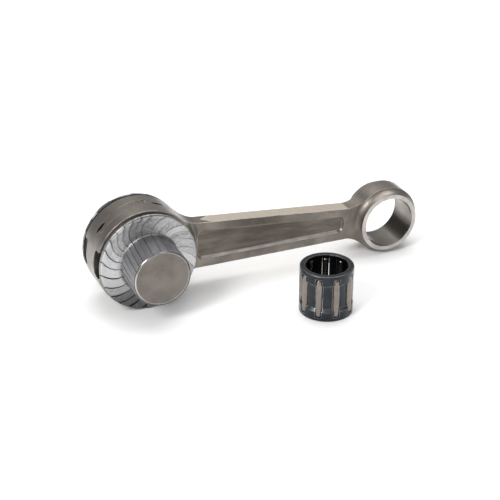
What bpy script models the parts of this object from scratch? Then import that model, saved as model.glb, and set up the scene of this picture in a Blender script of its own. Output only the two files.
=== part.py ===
"""Connecting rod kit of a small two-stroke engine.

The rod lies on its edge with the crank pin through its big end. The small-end needle bearing
stands on end beside the beam. Metres, +Z up. The origin is under the middle of the whole kit, on
the surface that it rests on.
"""

import math

import bmesh
import bpy
from mathutils import Vector

# Connecting rod
CENTRE_DISTANCE = 0.1055
BIG_END_WALL = 0.00594
BIG_END_WIDTH = 0.0152
SMALL_END_WALL = 0.0035
SMALL_END_WIDTH = 0.0144
SMALL_BOSS_WALL = 0.0019
RIM_CHAMFER = 0.00035
BORE_CHAMFER = 0.0004
BEAM_THICKNESS = 0.006
BEAM_ROOT_HEIGHT = 0.0210
BEAM_TIP_HEIGHT = 0.0120
BIG_FILLET_RADIUS = 0.011
SMALL_FILLET_RADIUS = 0.009
BIG_FLARE_RADIUS = 0.0040
SMALL_FLARE_RADIUS = 0.0034
FLANGE_HEIGHT = 0.0035
POCKET_DEPTH = 0.0011
POCKET_DRAFT = 0.0006
POCKET_CORNER = 0.0024
POCKET_TO_BIG_RIM = 0.0030
POCKET_TO_SMALL_RIM = 0.0046
FACE_NOTCH_WIDTH = 0.011
FACE_NOTCH_DEPTH = 0.0035
OIL_SLOT_LENGTH = 0.0060
OIL_SLOT_WIDTH = 0.0018
OIL_SLOT_ANGLES = (-143.0, -71.0, 71.0, 143.0)

# Crank pin and its roller bearing
PIN_RADIUS = 0.011
PIN_LENGTH = 0.049
PIN_CHAMFER = 0.0005
ROLLER_RADIUS = 0.0015
ROLLER_CROWN = 0.0003
ROLLER_COUNT = 14
RUNNING_GAP = 0.00003
BIG_CAGE_INNER_GAP = 0.00035
BIG_CAGE_OUTER_GAP = 0.00041
BIG_CAGE_END_GAP = 0.0004
BIG_CAGE_END_RING = 0.0016
BIG_POCKET_GAP = 0.0001

# Thrust washers and transport wraps
WASHER_INSET = 0.0018
WASHER_THICKNESS = 0.0010
WASHER_BORE_GAP = 0.0001
STACK_GAP = 0.0003
WRAP_INSET = 0.00015
WRAP_THICKNESS = 0.0016
WRAP_EDGE_CHAMFER = 0.0005
WRAP_SLEEVE_THICKNESS = 0.0003
WRAP_PIN_GAP = 0.00005
WRAP_SHORT_OF_PIN_END = 0.0004

# Small-end needle bearing
WRIST_PIN_RADIUS = 0.008
NEEDLE_RADIUS = 0.00125
NEEDLE_LENGTH = 0.0158
NEEDLE_CROWN = 0.0006
NEEDLE_COUNT = 9
NEEDLE_FIRST_ANGLE = 266.0
NEEDLE_GAP = 0.00006
NEEDLE_END_GAP = 0.0001
SMALL_CAGE_END_RING = 0.0016
SMALL_CAGE_BORE_GAP = 0.0001
SMALL_CAGE_RIM_GAP = 0.00015
SMALL_CAGE_CHAMFER = 0.0004
CAGE_WAIST_DEPTH = 0.0011
CAGE_SHOULDER_HEIGHT = 0.0040
CAGE_SHOULDER_SLOPE = 0.0006
BEARING_ALONG = 0.0614
BEARING_ASIDE = 0.0378

# Facets
ROUND_STEPS = 72
END_ARC_STEPS = 24
ROLLER_STEPS = 14
FILLET_STEPS = 5
CORNER_STEPS = 3

ROLLER_ORBIT = PIN_RADIUS + RUNNING_GAP + ROLLER_RADIUS
BIG_BORE_RADIUS = ROLLER_ORBIT + ROLLER_RADIUS + RUNNING_GAP
BIG_END_RADIUS = BIG_BORE_RADIUS + BIG_END_WALL
BIG_CAGE_HALF_LENGTH = BIG_END_WIDTH / 2 - BIG_CAGE_END_GAP
ROLLER_LENGTH = 2 * (BIG_CAGE_HALF_LENGTH - BIG_CAGE_END_RING - BIG_POCKET_GAP)
WASHER_RADIUS = BIG_END_RADIUS - WASHER_INSET
WRAP_RADIUS = BIG_END_RADIUS - WRAP_INSET

NEEDLE_ORBIT = WRIST_PIN_RADIUS + NEEDLE_RADIUS
BEARING_RADIUS = NEEDLE_ORBIT + NEEDLE_RADIUS
SMALL_BORE_RADIUS = BEARING_RADIUS
SMALL_END_RADIUS = SMALL_BORE_RADIUS + SMALL_END_WALL
SMALL_BOSS_RADIUS = SMALL_BORE_RADIUS + SMALL_BOSS_WALL
SMALL_CAGE_LENGTH = NEEDLE_LENGTH + 2 * (NEEDLE_END_GAP + SMALL_CAGE_END_RING)
ROD_TILT = math.asin((BIG_END_RADIUS - SMALL_END_RADIUS) / CENTRE_DISTANCE)

LEFT_END = -BIG_END_RADIUS
RIGHT_END = CENTRE_DISTANCE * math.cos(ROD_TILT) + SMALL_END_RADIUS
FRONT_END = -BEARING_ASIDE - BEARING_RADIUS
BACK_END = PIN_LENGTH / 2
BIG_END_CENTRE = Vector((-(LEFT_END + RIGHT_END) / 2, -(FRONT_END + BACK_END) / 2, BIG_END_RADIUS))
BEARING_CENTRE = BIG_END_CENTRE + Vector((BEARING_ALONG, -BEARING_ASIDE, -BIG_END_RADIUS))

# What cuts or limits a piece: how far it stands out past the faces, how far a limit stays clear of
# the outline that it trims, the least straight wall above a flare, and where a flare stops and
# dives so that it crosses the beam's face
OVERSHOOT = 0.002
LIMIT_GAP = 0.00005
FLARE_LAND = 0.0002
FLARE_STOP = math.radians(263)
FLARE_DIVE = 0.0004
MERGE = 0.000001


# Helpers


def clear_scene():
    for obj in list(bpy.data.objects):
        bpy.data.objects.remove(obj)


def new_collection(name, hidden=False):
    collection = bpy.data.collections.new(name)
    collection.hide_render = hidden
    bpy.context.scene.collection.children.link(collection)
    return collection


def new_frame(name, collection, location, rotation=(0, 0, 0)):
    """An empty that carries the pieces standing on one axis."""
    frame = bpy.data.objects.new(name, None)
    frame.location = location
    frame.rotation_euler = rotation
    collection.objects.link(frame)
    return frame


def new_material(name, colour, roughness, metallic=1.0):
    material = bpy.data.materials.new(name)
    material.use_nodes = True
    shader = material.node_tree.nodes["Principled BSDF"]
    shader.inputs["Base Color"].default_value = (*colour, 1)
    shader.inputs["Roughness"].default_value = roughness
    shader.inputs["Metallic"].default_value = metallic
    return material


def add_object(name, mesh, collection, frame, material=None, location=(0, 0, 0), turn=0):
    obj = bpy.data.objects.new(name, mesh)
    obj.parent = frame
    obj.location = location
    obj.rotation_euler = (0, 0, turn)
    collection.objects.link(obj)
    if material:
        mesh.materials.clear()
        mesh.materials.append(material)
    if collection.hide_render:
        obj.hide_render = True
        obj.display_type = "WIRE"
    return obj


def profile_mesh(name, points):
    """Edges through (radius, height) points, which a Screw modifier turns about Z."""
    mesh = bpy.data.meshes.new(name)
    edges = [(i, i + 1) for i in range(len(points) - 1)]
    if points[0][0] > 0:
        edges.append((len(points) - 1, 0))
    mesh.from_pydata([(radius, 0, height) for radius, height in points], edges, [])
    return mesh


def add_turned(name, points, collection, frame, material=None, steps=ROUND_STEPS, **placing):
    """A turned piece. The points run top to bottom on the outer side, and close if it has a bore."""
    obj = add_object(name, profile_mesh(name, points), collection, frame, material, **placing)
    screw = obj.modifiers.new("Turn", "SCREW")
    screw.steps = screw.render_steps = steps
    screw.use_merge_vertices = True
    screw.merge_threshold = MERGE
    screw.use_smooth_shade = True
    return obj


def outline_mesh(name, points, half_thickness):
    """A flat outline in XY, filled and thickened along Z."""
    curve = bpy.data.curves.new(name, "CURVE")
    curve.dimensions = "2D"
    curve.fill_mode = "BOTH"
    curve.extrude = half_thickness
    spline = curve.splines.new("POLY")
    spline.points.add(len(points) - 1)
    for point, (x, y) in zip(spline.points, points):
        point.co = (x, y, 0, 1)
    spline.use_cyclic_u = True
    guide = bpy.data.objects.new(name, curve)
    bpy.context.scene.collection.objects.link(guide)
    graph = bpy.context.evaluated_depsgraph_get()
    mesh = bpy.data.meshes.new_from_object(guide.evaluated_get(graph))
    bpy.data.objects.remove(guide)
    shape = bmesh.new()
    shape.from_mesh(mesh)
    bmesh.ops.remove_doubles(shape, verts=shape.verts, dist=MERGE)
    bmesh.ops.recalc_face_normals(shape, faces=shape.faces)
    shape.to_mesh(mesh)
    shape.free()
    return mesh


def box_mesh(name, size):
    mesh = bpy.data.meshes.new(name)
    shape = bmesh.new()
    bmesh.ops.create_cube(shape, size=1)
    bmesh.ops.scale(shape, vec=size, verts=shape.verts)
    shape.to_mesh(mesh)
    shape.free()
    return mesh


def apply_boolean(obj, other, operation):
    modifier = obj.modifiers.new(f"{operation.title()} {other.name}", "BOOLEAN")
    modifier.operation = operation
    modifier.solver = "EXACT"
    modifier.object = other


def on_circle(centre, radius, angle):
    return Vector((centre[0] + radius * math.cos(angle), centre[1] + radius * math.sin(angle)))


def arc(centre, radius, start, end, steps):
    """Points on a circle from one angle to another, both ends included."""
    return [on_circle(centre, radius, start + (end - start) * i / steps) for i in range(steps + 1)]


def round_bore(radius):
    """The corner radius of a bore whose flats touch the circle of this radius."""
    return radius / math.cos(math.pi / ROUND_STEPS)


def mirror_down(points):
    """The profile's upper half, followed by its mirror image below."""
    return points + [(radius, -height) for radius, height in reversed(points)]


# Connecting rod


def edge_of_beam():
    """(start, end) of the beam's straight upper edge, at the two bores' centres."""
    return Vector((0, BEAM_ROOT_HEIGHT / 2)), Vector((CENTRE_DISTANCE, BEAM_TIP_HEIGHT / 2))


def fillet_to_edge(centre_x, end_radius, fillet_radius, side):
    """Where a fillet meets an end's circle and the beam's upper edge.

    Returns the fillet's centre, the direction to it from the end's centre, and the direction from
    it to the beam's edge.
    """
    start, end = edge_of_beam()
    along = (end - start).normalized()
    outward = Vector((-along.y, along.x))
    offset = outward.dot(start) + fillet_radius - outward.x * centre_x
    reach = end_radius + fillet_radius
    run = side * math.sqrt(reach**2 - offset**2)
    middle = Vector((centre_x, 0)) + outward * offset + along * run
    return middle, math.atan2(middle.y, middle.x - centre_x), math.atan2(-outward.y, -outward.x)


def rod_outline():
    """The rod seen along its bores: two rings, a tapered beam, and a fillet at each corner."""
    big_middle, big_angle, edge_angle = fillet_to_edge(0, BIG_END_RADIUS, BIG_FILLET_RADIUS, 1)
    small_middle, small_angle, _ = fillet_to_edge(
        CENTRE_DISTANCE, SMALL_END_RADIUS, SMALL_FILLET_RADIUS, -1
    )
    upper = arc((0, 0), BIG_END_RADIUS, math.pi, big_angle, END_ARC_STEPS)
    upper += arc(big_middle, BIG_FILLET_RADIUS, big_angle - math.pi, edge_angle, FILLET_STEPS)[1:]
    upper += arc(
        small_middle, SMALL_FILLET_RADIUS, edge_angle, small_angle - math.pi, FILLET_STEPS
    )
    upper += arc((CENTRE_DISTANCE, 0), SMALL_END_RADIUS, small_angle, 0, END_ARC_STEPS)[1:]
    lower = [Vector((point.x, -point.y)) for point in reversed(upper[1:-1])]
    return upper + lower


def flare_profile(rim_radius, wall_radius, width, flare_radius, chamfer):
    """A boss whose wall flares out to the beam's face and dives under it."""
    face, beam = width / 2, BEAM_THICKNESS / 2
    flare = min(flare_radius, face - chamfer - FLARE_LAND - beam)
    foot = Vector((wall_radius + flare, beam + flare))
    upper = [(0, face), (rim_radius - chamfer, face), (wall_radius, face - chamfer)]
    upper += [tuple(p) for p in arc(foot, flare, math.pi, FLARE_STOP, FILLET_STEPS)]
    upper += [(foot.x + flare, beam - FLARE_DIVE)]
    return mirror_down(upper)


def pocket_outline(inset):
    """The hollow between the beam's flanges, shrunk by the inset, with round corners."""
    start, end = edge_of_beam()
    slope = (end.y - start.y) / (end.x - start.x)
    left = BIG_END_RADIUS + POCKET_TO_BIG_RIM + inset
    right = CENTRE_DISTANCE - SMALL_END_RADIUS - POCKET_TO_SMALL_RIM - inset
    corner = POCKET_CORNER - inset
    points = []
    for x, turn in ((left, math.pi), (right, math.pi / 2)):
        inside = corner if x == left else -corner
        height = start.y + slope * (x + inside) - FLANGE_HEIGHT - inset - corner
        points += arc((x + inside, height), corner, turn, turn - math.pi / 2, CORNER_STEPS)
    return points + [Vector((point.x, -point.y)) for point in reversed(points)]


def pocket_mesh(name):
    """A drafted plug: the pocket's floor outline joined to a wider one above the beam's face."""
    depth, rise = POCKET_DEPTH, OVERSHOOT
    spread = POCKET_DRAFT * rise / depth
    floor, top = pocket_outline(POCKET_DRAFT), pocket_outline(-spread)
    mesh = bpy.data.meshes.new(name)
    shape = bmesh.new()
    rings = [
        [shape.verts.new((point.x, point.y, height)) for point in ring]
        for ring, height in ((floor, -depth), (top, rise))
    ]
    count = len(floor)
    for i in range(count):
        j = (i + 1) % count
        shape.faces.new((rings[0][i], rings[0][j], rings[1][j], rings[1][i]))
    for ring in rings:
        shape.faces.new(ring)
    bmesh.ops.recalc_face_normals(shape, faces=shape.faces)
    shape.to_mesh(mesh)
    shape.free()
    return mesh


def bore_profile(radius, width):
    """A bore with a chamfer at each mouth."""
    corner, face = round_bore(radius), width / 2
    flare = BORE_CHAMFER + OVERSHOOT
    mouth = (corner + flare, face + OVERSHOOT)
    return mirror_down([(0, face + OVERSHOOT), mouth, (corner, face - BORE_CHAMFER)])


def almond_outline():
    """Two arcs that meet in a point at each end."""
    half, rise = OIL_SLOT_LENGTH / 2, OIL_SLOT_WIDTH / 2
    radius = (half**2 + rise**2) / (2 * rise)
    reach = math.asin(half / radius)
    upper = arc((0, rise - radius), radius, math.pi / 2 + reach, math.pi / 2 - reach, FILLET_STEPS)
    return upper + [Vector((point.x, -point.y)) for point in reversed(upper[1:-1])]


def add_oil_slots(rod, frame, cutters):
    """Slots through the big end's rim, in the plane between its two faces."""
    wall = BIG_END_RADIUS - BIG_BORE_RADIUS
    mesh = outline_mesh("oil_slot_cut", almond_outline(), wall / 2 + OVERSHOOT / 2)
    for number, degrees in enumerate(OIL_SLOT_ANGLES, 1):
        angle = math.radians(degrees)
        place = on_circle((0, 0), BIG_BORE_RADIUS + wall / 2, angle)
        slot = add_object(f"oil_slot_cut_{number}", mesh, cutters, frame, location=(*place, 0))
        slot.rotation_euler = (math.pi / 2, 0, angle + math.pi / 2)
        apply_boolean(rod, slot, "DIFFERENCE")


def add_face_notches(rod, frame, cutters):
    """Oil ways milled across both faces, at the tip of the big end."""
    reach = BIG_END_RADIUS - BIG_BORE_RADIUS + 2 * OVERSHOOT
    depth = FACE_NOTCH_DEPTH + OVERSHOOT
    mesh = box_mesh("face_notch_cut", (reach, FACE_NOTCH_WIDTH, depth))
    for name, side in (("front", 1), ("rear", -1)):
        height = side * (BIG_END_WIDTH / 2 - FACE_NOTCH_DEPTH + depth / 2)
        place = (-(BIG_END_RADIUS + BIG_BORE_RADIUS) / 2, 0, height)
        notch = add_object(f"face_notch_cut_{name}", mesh, cutters, frame, location=place)
        apply_boolean(rod, notch, "DIFFERENCE")


def add_connecting_rod(parts, cutters, frame):
    steel = new_material("forged_steel", (0.20, 0.18, 0.16), 0.5)
    blank = outline_mesh("connecting_rod", rod_outline(), BIG_END_WIDTH / 2 + OVERSHOOT)
    rod = add_object("connecting_rod", blank, parts, frame, steel)
    small_place = (CENTRE_DISTANCE, 0, 0)

    slab_length = CENTRE_DISTANCE + BIG_END_RADIUS + SMALL_END_RADIUS + 2 * OVERSHOOT
    slab_middle = (CENTRE_DISTANCE + SMALL_END_RADIUS - BIG_END_RADIUS) / 2
    slab_size = (slab_length, 2 * BIG_END_RADIUS + 2 * OVERSHOOT, BEAM_THICKNESS)
    slab_mesh = box_mesh("thickness_limit", slab_size)
    slab = add_object("thickness_limit", slab_mesh, cutters, frame, location=(slab_middle, 0, 0))
    big_wall = BIG_END_RADIUS + LIMIT_GAP
    big_flare = flare_profile(
        BIG_END_RADIUS, big_wall, BIG_END_WIDTH, BIG_FLARE_RADIUS, RIM_CHAMFER
    )
    small_flare = flare_profile(
        SMALL_BOSS_RADIUS, SMALL_BOSS_RADIUS, SMALL_END_WIDTH, SMALL_FLARE_RADIUS, RIM_CHAMFER
    )
    for name, profile, place in (
        ("big_end_limit", big_flare, (0, 0, 0)),
        ("small_end_limit", small_flare, small_place),
    ):
        limit = add_turned(name, profile, cutters, frame, location=place)
        apply_boolean(slab, limit, "UNION")
    apply_boolean(rod, slab, "INTERSECT")

    for name, radius, width, place in (
        ("big_bore_cut", BIG_BORE_RADIUS, BIG_END_WIDTH, (0, 0, 0)),
        ("small_bore_cut", SMALL_BORE_RADIUS, SMALL_END_WIDTH, small_place),
    ):
        bore = add_turned(name, bore_profile(radius, width), cutters, frame, location=place)
        apply_boolean(rod, bore, "DIFFERENCE")

    pocket = pocket_mesh("pocket_cut")
    for name, side, turn in (("front", 1, 0), ("rear", -1, math.pi)):
        place = (0, 0, side * BEAM_THICKNESS / 2)
        plug = add_object(f"pocket_cut_{name}", pocket, cutters, frame, location=place)
        plug.rotation_euler = (turn, 0, 0)
        apply_boolean(rod, plug, "DIFFERENCE")
    add_face_notches(rod, frame, cutters)
    add_oil_slots(rod, frame, cutters)


# Crank pin, washers and wraps


def add_crank_pin(parts, frame):
    steel = new_material("ground_steel", (0.28, 0.26, 0.24), 0.35)
    half = PIN_LENGTH / 2
    upper = [(0, half), (PIN_RADIUS - PIN_CHAMFER, half), (PIN_RADIUS, half - PIN_CHAMFER)]
    add_turned("crank_pin", mirror_down(upper), parts, frame, steel)


def washer_height():
    return BIG_END_WIDTH / 2 + STACK_GAP


def wrap_height():
    return washer_height() + WASHER_THICKNESS + STACK_GAP


def add_thrust_washers(parts, frame):
    steel = new_material("washer_steel", (0.45, 0.45, 0.46), 0.3)
    inner = round_bore(PIN_RADIUS + WASHER_BORE_GAP)
    low, high = washer_height(), washer_height() + WASHER_THICKNESS
    ring = [(WASHER_RADIUS, high), (WASHER_RADIUS, low), (inner, low), (inner, high)]
    for name, turn in (("front", 0), ("rear", math.pi)):
        washer = add_turned(f"{name}_thrust_washer", ring, parts, frame, steel)
        washer.rotation_euler = (turn, 0, 0)


def add_pin_wraps(parts, frame):
    """Thin film drawn tight over each washer and down the pin's side."""
    film = new_material("silver_film", (0.62, 0.63, 0.66), 0.4)
    inner = round_bore(PIN_RADIUS + WRAP_PIN_GAP)
    outer = inner + WRAP_SLEEVE_THICKNESS
    low, high = wrap_height(), wrap_height() + WRAP_THICKNESS
    end = PIN_LENGTH / 2 - WRAP_SHORT_OF_PIN_END
    edge = WRAP_EDGE_CHAMFER
    section = [(inner, end), (outer, end), (outer, high), (WRAP_RADIUS - edge, high)]
    section += [(WRAP_RADIUS, high - edge), (WRAP_RADIUS, low), (inner, low)]
    for name, turn in (("front", 0), ("rear", math.pi)):
        wrap = add_turned(f"{name}_pin_wrap", section, parts, frame, film)
        wrap.rotation_euler = (turn, 0, 0)


# Bearings


def roller_profile(radius, half_length, crown):
    """A roller with its end corners bevelled by the crown."""
    end = (radius - crown, half_length)
    return mirror_down([(0, half_length), end, (radius, half_length - crown)])


def window_size(radius, length, side_gap, end_gap):
    """A window for one roller: (through the wall, across, along the axis)."""
    return 2 * (radius + OVERSHOOT), 2 * (radius + side_gap), length + 2 * end_gap


def cut_windows(cage, frame, cutters, count, orbit, size, first=0.0, height=0.0):
    """Equal windows round a cage, one for each roller."""
    mesh = box_mesh(f"{cage.name}_window_cut", size)
    for number in range(count):
        angle = first + 2 * math.pi * number / count
        place = (*on_circle((0, 0), orbit, angle), height)
        name = f"{cage.name}_window_cut_{number + 1:02d}"
        window = add_object(name, mesh, cutters, frame, location=place, turn=angle)
        apply_boolean(cage, window, "DIFFERENCE")


def add_rollers(name, count, orbit, profile, collection, frame, material, first=0.0, height=0.0):
    for number in range(count):
        angle = first + 2 * math.pi * number / count
        place = (*on_circle((0, 0), orbit, angle), height)
        title = f"{name}_{number + 1:02d}"
        placing = {"location": place, "turn": angle}
        add_turned(title, profile, collection, frame, material, ROLLER_STEPS, **placing)


def add_big_end_bearing(parts, cutters, frame):
    cage_steel = new_material("cage_steel", (0.32, 0.30, 0.27), 0.4)
    roller_steel = new_material("roller_steel", (0.5, 0.48, 0.45), 0.2)
    inner = round_bore(PIN_RADIUS + BIG_CAGE_INNER_GAP)
    outer, half = BIG_BORE_RADIUS - BIG_CAGE_OUTER_GAP, BIG_CAGE_HALF_LENGTH
    ring = [(outer, half), (outer, -half), (inner, -half), (inner, half)]
    cage = add_turned("big_end_cage", ring, parts, frame, cage_steel)
    window = window_size(ROLLER_RADIUS, ROLLER_LENGTH, BIG_POCKET_GAP, BIG_POCKET_GAP)
    cut_windows(cage, frame, cutters, ROLLER_COUNT, ROLLER_ORBIT, window)
    profile = roller_profile(ROLLER_RADIUS, ROLLER_LENGTH / 2, ROLLER_CROWN)
    add_rollers("big_end_roller", ROLLER_COUNT, ROLLER_ORBIT, profile, parts, frame, roller_steel)


def small_cage_profile():
    """A ring with thick ends and a drawn-in waist."""
    inner = round_bore(WRIST_PIN_RADIUS + SMALL_CAGE_BORE_GAP)
    rim = BEARING_RADIUS - SMALL_CAGE_RIM_GAP
    waist, half = rim - CAGE_WAIST_DEPTH, SMALL_CAGE_LENGTH / 2
    shoulder = half - CAGE_SHOULDER_HEIGHT
    outer = [(rim - SMALL_CAGE_CHAMFER, half), (rim, half - SMALL_CAGE_CHAMFER), (rim, shoulder)]
    outer += [(waist, shoulder - CAGE_SHOULDER_SLOPE)]
    return mirror_down(outer) + [(inner, -half), (inner, half)]


def add_small_end_bearing(parts, cutters, frame):
    cage_steel = new_material("blued_cage_steel", (0.07, 0.075, 0.085), 0.4)
    needle_steel = new_material("needle_steel", (0.42, 0.38, 0.34), 0.3)
    middle, first = SMALL_CAGE_LENGTH / 2, math.radians(NEEDLE_FIRST_ANGLE)
    cage = add_turned(
        "small_end_cage", small_cage_profile(), parts, frame, cage_steel, location=(0, 0, middle)
    )
    window = window_size(NEEDLE_RADIUS, NEEDLE_LENGTH, NEEDLE_GAP, NEEDLE_END_GAP)
    cut_windows(cage, frame, cutters, NEEDLE_COUNT, NEEDLE_ORBIT, window, first, middle)
    profile = roller_profile(NEEDLE_RADIUS, NEEDLE_LENGTH / 2, NEEDLE_CROWN)
    name, count, orbit = "small_end_needle", NEEDLE_COUNT, NEEDLE_ORBIT
    add_rollers(name, count, orbit, profile, parts, frame, needle_steel, first, middle)


def main():
    clear_scene()
    parts = new_collection("connecting_rod_kit")
    cutters = new_collection("cutters", hidden=True)
    lying = (math.pi / 2, ROD_TILT, 0)
    rod_frame = new_frame("crank_pin_axis", parts, BIG_END_CENTRE, lying)
    bearing_frame = new_frame("bearing_axis", parts, BEARING_CENTRE)
    add_connecting_rod(parts, cutters, rod_frame)
    add_crank_pin(parts, rod_frame)
    add_thrust_washers(parts, rod_frame)
    add_pin_wraps(parts, rod_frame)
    add_big_end_bearing(parts, cutters, rod_frame)
    add_small_end_bearing(parts, cutters, bearing_frame)
    bpy.context.view_layer.update()


main()
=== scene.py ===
"""Connecting rod kit of a small two-stroke engine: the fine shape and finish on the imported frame.

The rod, its crank pin, thrust washers, film wraps and both roller bearings are modelled where the
frame's nodes lie and ride on the frame's bodies. Lengths are in metres.
"""

import math
import random

import bmesh
import bpy
from bpy.props import FloatProperty, FloatVectorProperty, IntProperty, PointerProperty
from bpy.types import Operator, Panel, PropertyGroup
from mathutils import Euler, Matrix, Vector, noise
from mathutils.geometry import interpolate_bezier


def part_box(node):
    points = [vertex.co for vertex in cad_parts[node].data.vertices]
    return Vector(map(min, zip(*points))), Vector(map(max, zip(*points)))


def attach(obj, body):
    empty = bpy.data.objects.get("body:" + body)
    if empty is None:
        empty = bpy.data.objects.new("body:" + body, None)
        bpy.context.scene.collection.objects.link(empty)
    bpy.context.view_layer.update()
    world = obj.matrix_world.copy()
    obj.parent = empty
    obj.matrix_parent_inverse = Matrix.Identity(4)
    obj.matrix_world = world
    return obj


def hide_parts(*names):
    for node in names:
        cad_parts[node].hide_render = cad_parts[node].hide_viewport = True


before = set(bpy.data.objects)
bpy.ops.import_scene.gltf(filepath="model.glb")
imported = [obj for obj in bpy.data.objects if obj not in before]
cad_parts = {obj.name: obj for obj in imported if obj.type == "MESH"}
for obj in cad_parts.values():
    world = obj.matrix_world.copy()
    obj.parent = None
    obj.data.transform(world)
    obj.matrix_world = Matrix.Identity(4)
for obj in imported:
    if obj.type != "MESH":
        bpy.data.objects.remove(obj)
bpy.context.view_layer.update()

bl_info = {
    "name": "Connecting Rod Kit",
    "version": (1, 0, 0),
    "blender": (4, 5, 0),
    "location": "View3D > Sidebar > Rod Kit",
    "description": "Builds a two-stroke connecting rod with its crank pin, washers and bearings",
    "category": "Add Mesh",
}

# Points nearer than MERGE are one point. A cutter goes OVERSHOOT past what it cuts. A HAIR keeps
# two surfaces from lying in each other, and true circles inside the frame's faceted ones.
MERGE = 0.000001
OVERSHOOT = 0.002
HAIR = 0.00002


# Places and sizes that come from the frame


def node_middle(name):
    low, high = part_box(name)
    return (low + high) / 2


def node_size(name):
    low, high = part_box(name)
    return high - low


def nodes_called(start):
    return sorted(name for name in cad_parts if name.startswith(start))


def to_tenth(value):
    """A faceted round node measures a little small, so its size is rounded to 0.1 mm."""
    return round(value, 4)


ROLLERS = nodes_called("big_end_roller")
NEEDLES = nodes_called("small_end_needle")
BIG_RADIUS = to_tenth(node_size("connecting_rod").z / 2)
BIG_WIDTH = to_tenth(node_size("connecting_rod").y)
PIN_RADIUS = to_tenth(node_size("crank_pin").z / 2)
PIN_LENGTH = to_tenth(node_size("crank_pin").y)
ROLLER_RADIUS = to_tenth(node_size(ROLLERS[0]).z) / 2
ROLLER_LENGTH = to_tenth(node_size(ROLLERS[0]).y)
NEEDLE_RADIUS = to_tenth(node_size(NEEDLES[0]).x) / 2
NEEDLE_LENGTH = to_tenth(node_size(NEEDLES[0]).z)
SMALL_CAGE_LENGTH = to_tenth(node_size("small_end_cage").z)
BIG_CAGE_LENGTH = to_tenth(node_size("big_end_cage").y)
WASHER_RADIUS = to_tenth(node_size("front_thrust_washer").z / 2)
WASHER_THICKNESS = to_tenth(node_size("front_thrust_washer").y)
WRAP_LENGTH = to_tenth(node_size("front_pin_wrap").y)
BIG_CENTRE = node_middle("crank_pin")
BEARING_CENTRE = node_middle("small_end_cage")
WASHER_HEIGHT = abs(node_middle("front_thrust_washer").y - BIG_CENTRE.y)
WRAP_LOW = BIG_CENTRE.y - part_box("front_pin_wrap")[1].y
WRAP_RADIUS = node_size("front_pin_wrap").z / 2
NEEDLE_ORBIT = (node_middle(NEEDLES[0]) - BEARING_CENTRE).xy.length


def length(name, description, default):
    return FloatProperty(
        name=name, description=description, default=default, min=0, unit="LENGTH", precision=5
    )


def colour(name, description, default):
    return FloatVectorProperty(
        name=name, description=description, default=default, size=3, min=0, max=1, subtype="COLOR"
    )


def share(name, description, default):
    return FloatProperty(
        name=name, description=description, default=default, min=0, max=1, subtype="FACTOR"
    )


def degrees(name, description, default):
    return FloatProperty(
        name=name, description=description, default=math.radians(default), subtype="ANGLE"
    )


class RodSizes(PropertyGroup):
    small_radius: length("Small end radius", "Barrel round the small bore", 0.014)
    small_width: length("Small end width", "Between the small end's two faces", 0.0144)
    land_radius: length("Land radius", "Outer edge of the small end's ground face", 0.0124)
    small_bore: length("Small bore radius", "Bore that the needle bearing fits", 0.0105)
    big_bore: length("Big bore radius", "Bore that the crank pin's rollers run in", 0.01406)
    beam_thickness: length("Beam thickness", "Between the beam's two flanks", 0.006)
    root_height: length("Root height", "Beam height at the big bore's centre", 0.0216)
    tip_height: length("Tip height", "Beam height at the small bore's centre", 0.012)
    big_fillet: length("Big end fillet", "Radius from the beam's edge into the big end", 0.0135)
    small_fillet: length("Small end fillet", "The same into the small end", 0.0115)
    big_flare: length("Big end flare", "Radius from the beam's flank into the big end", 0.004)
    flange: length("Flange height", "Edge left above and below the pocket", 0.0035)
    pocket_depth: length("Pocket depth", "Depth of the hollow in each flank", 0.0011)
    pocket_corner: length("Pocket corner", "Radius of the pocket's corners", 0.0024)
    pocket_start: length("Pocket start", "From the big end's rim to the pocket", 0.003)
    pocket_end: length("Pocket end", "From the pocket to the small end's rim", 0.0046)
    notch_width: length("Notch width", "Oil way across the big end's face", 0.011)
    notch_depth: length("Notch depth", "Depth of that oil way", 0.0035)
    slot_length: length("Slot length", "Almond oil slot in the big end's rim", 0.006)
    slot_width: length("Slot width", "Almond oil slot at its middle", 0.0018)
    steps: IntProperty(name="Steps", description="Facets round an end", default=180, min=24)


class FilmSizes(PropertyGroup):
    sleeve: length("Sleeve thickness", "Film on the crank pin's side", 0.00032)
    pleat: length("Pleat height", "How far a pleat stands up at the disc's edge", 0.00042)
    sleeve_pleat: length("Sleeve pleat height", "The same on the pin's side", 0.00014)
    groove: length("Groove depth", "Crease beside each pleat", 0.00022)
    corner: length("Corner radius", "Where the film turns from disc to sleeve", 0.0009)
    rim: length("Rim radius", "Where the film turns over the washer's edge", 0.0007)
    crinkle: length("Crinkle", "Height of the small wrinkles", 0.00007)
    swirl: degrees("Swirl", "How far the pleats turn between the sleeve and the rim", 15)


class BearingSizes(PropertyGroup):
    cage_gap: length("Cage gap", "From a cage to what turns inside it", 0.00012)
    window_gap: length("Window gap", "Round each roller in its window", 0.00013)
    waist: length("Waist depth", "How far the small cage is drawn in", 0.0011)
    shoulder: length("Shoulder height", "Height of the small cage's full ends", 0.0040)
    slope: length("Shoulder slope", "Height of the slope down to the waist", 0.0007)
    mouth: length("Window mouth", "Half the opening that a needle shows through", 0.00124)
    rim_gap: length("Rim gap", "How far the needles stand out of the cage", 0.00015)
    big_wall: length("Big cage wall", "Thickness of the big end's cage", 0.0023)
    roller_crown: length("Roller crown", "Round on a big end roller's ends", 0.0004)
    crown: length("Needle crown", "Round on a needle's ends", 0.0008)


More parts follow.
